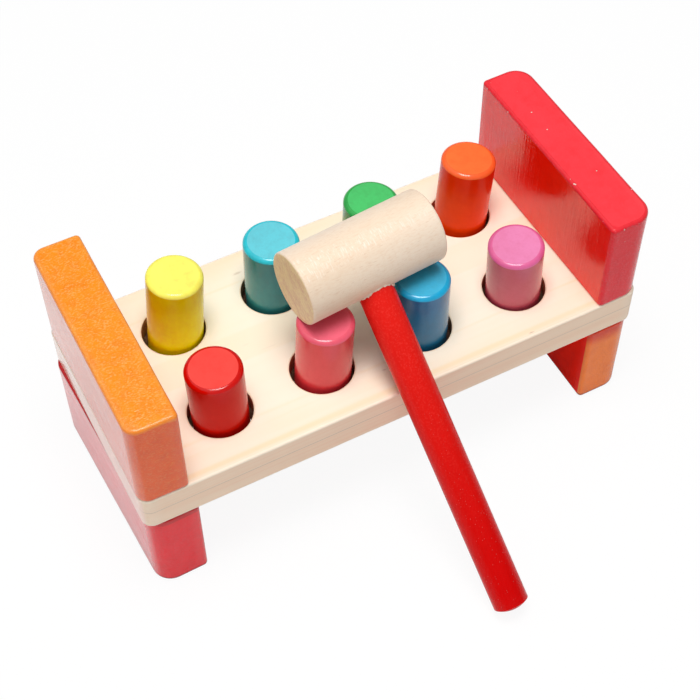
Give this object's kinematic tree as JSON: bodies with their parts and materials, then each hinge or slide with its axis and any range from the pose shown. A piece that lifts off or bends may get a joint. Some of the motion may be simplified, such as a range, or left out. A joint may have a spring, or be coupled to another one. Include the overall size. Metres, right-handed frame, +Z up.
{
  "type": "peg pounding bench",
  "caption": "Low wooden bench with painted end blocks and legs, coloured pegs that stand in oversize holes to be pounded through its board, and a wooden mallet resting on them.",
  "frame": {"origin": "on the floor, under the middle of the bench with its mallet lying on it", "axes": "+X along the board to the right, +Y to the back, away from the mallet's handle, +Z up"},
  "size_m": [0.2315, 0.1825, 0.1284],
  "materials": {
    "pine": "bare sanded pine",
    "orange_paint": "gloss paint on wood",
    "red_paint": "gloss paint on wood",
    "crimson_paint": "gloss paint on wood",
    "dowel_beech": "bare beech",
    "brown_rubber": "matt rubber",
    "yellow_peg_paint": "gloss paint on wood",
    "turquoise_peg_paint": "gloss paint on wood",
    "green_peg_paint": "gloss paint on wood",
    "orange_peg_paint": "gloss paint on wood",
    "red_peg_paint": "gloss paint on wood",
    "pink_peg_paint": "gloss paint on wood",
    "blue_peg_paint": "gloss paint on wood",
    "mauve_peg_paint": "gloss paint on wood",
    "beech": "bare turned beech",
    "red_handle_paint": "gloss paint on wood"
  },
  "bodies": {
    "bench": {"upper_plank": "pine", "lower_plank": "pine", "left_upper_block": "orange_paint", "right_upper_block": "red_paint", "left_leg": "crimson_paint", "right_leg": "orange_paint", "left_back_dowel": "dowel_beech", "left_front_dowel": "dowel_beech", "right_back_dowel": "dowel_beech", "right_front_dowel": "dowel_beech", "yellow_ring": "brown_rubber", "turquoise_ring": "brown_rubber", "green_ring": "brown_rubber", "orange_ring": "brown_rubber", "red_ring": "brown_rubber", "pink_ring": "brown_rubber", "blue_ring": "brown_rubber", "mauve_ring": "brown_rubber"},
    "yellow_peg": {"yellow_peg": "yellow_peg_paint"},
    "turquoise_peg": {"turquoise_peg": "turquoise_peg_paint"},
    "green_peg": {"green_peg": "green_peg_paint"},
    "orange_peg": {"orange_peg": "orange_peg_paint"},
    "red_peg": {"red_peg": "red_peg_paint"},
    "pink_peg": {"pink_peg": "pink_peg_paint"},
    "blue_peg": {"blue_peg": "blue_peg_paint"},
    "mauve_peg": {"mauve_peg": "mauve_peg_paint"},
    "mallet": {"mallet_head": "beech", "mallet_handle": "red_handle_paint"}
  },
  "joints": [
    {"name": "yellow_peg_slide", "type": "slide", "parent": "bench", "child": "yellow_peg", "axis": [-0.074, 0.0269, -0.9969], "range_m": [-0.006, 0.035]},
    {"name": "turquoise_peg_slide", "type": "slide", "parent": "bench", "child": "turquoise_peg", "axis": [-0.0135, 0.0202, -0.9997], "range_m": [-0.0085, 0.0325]},
    {"name": "green_peg_slide", "type": "slide", "parent": "bench", "child": "green_peg", "axis": [-0.0404, 0, -0.9992], "range_m": [-0.009, 0.032]},
    {"name": "orange_peg_slide", "type": "slide", "parent": "bench", "child": "orange_peg", "axis": [-0.0807, -0.0202, -0.9965], "range_m": [-0.008, 0.033]},
    {"name": "red_peg_slide", "type": "slide", "parent": "bench", "child": "red_peg", "axis": [0.0202, 0, -0.9998], "range_m": [-0.012, 0.029]},
    {"name": "pink_peg_slide", "type": "slide", "parent": "bench", "child": "pink_peg", "axis": [-0.0471, 0.0202, -0.9987], "range_m": [0, 0.031]},
    {"name": "blue_peg_slide", "type": "slide", "parent": "bench", "child": "blue_peg", "axis": [0, 0, -1], "range_m": [0, 0.032]},
    {"name": "mauve_peg_slide", "type": "slide", "parent": "bench", "child": "mauve_peg", "axis": [0.0538, 0.0337, -0.998], "range_m": [-0.0115, 0.0295]},
    {"name": "mallet_lift", "type": "slide", "parent": "bench", "child": "mallet", "axis": [0, 0, 1], "range_m": [0, 0.12]}
  ]
}
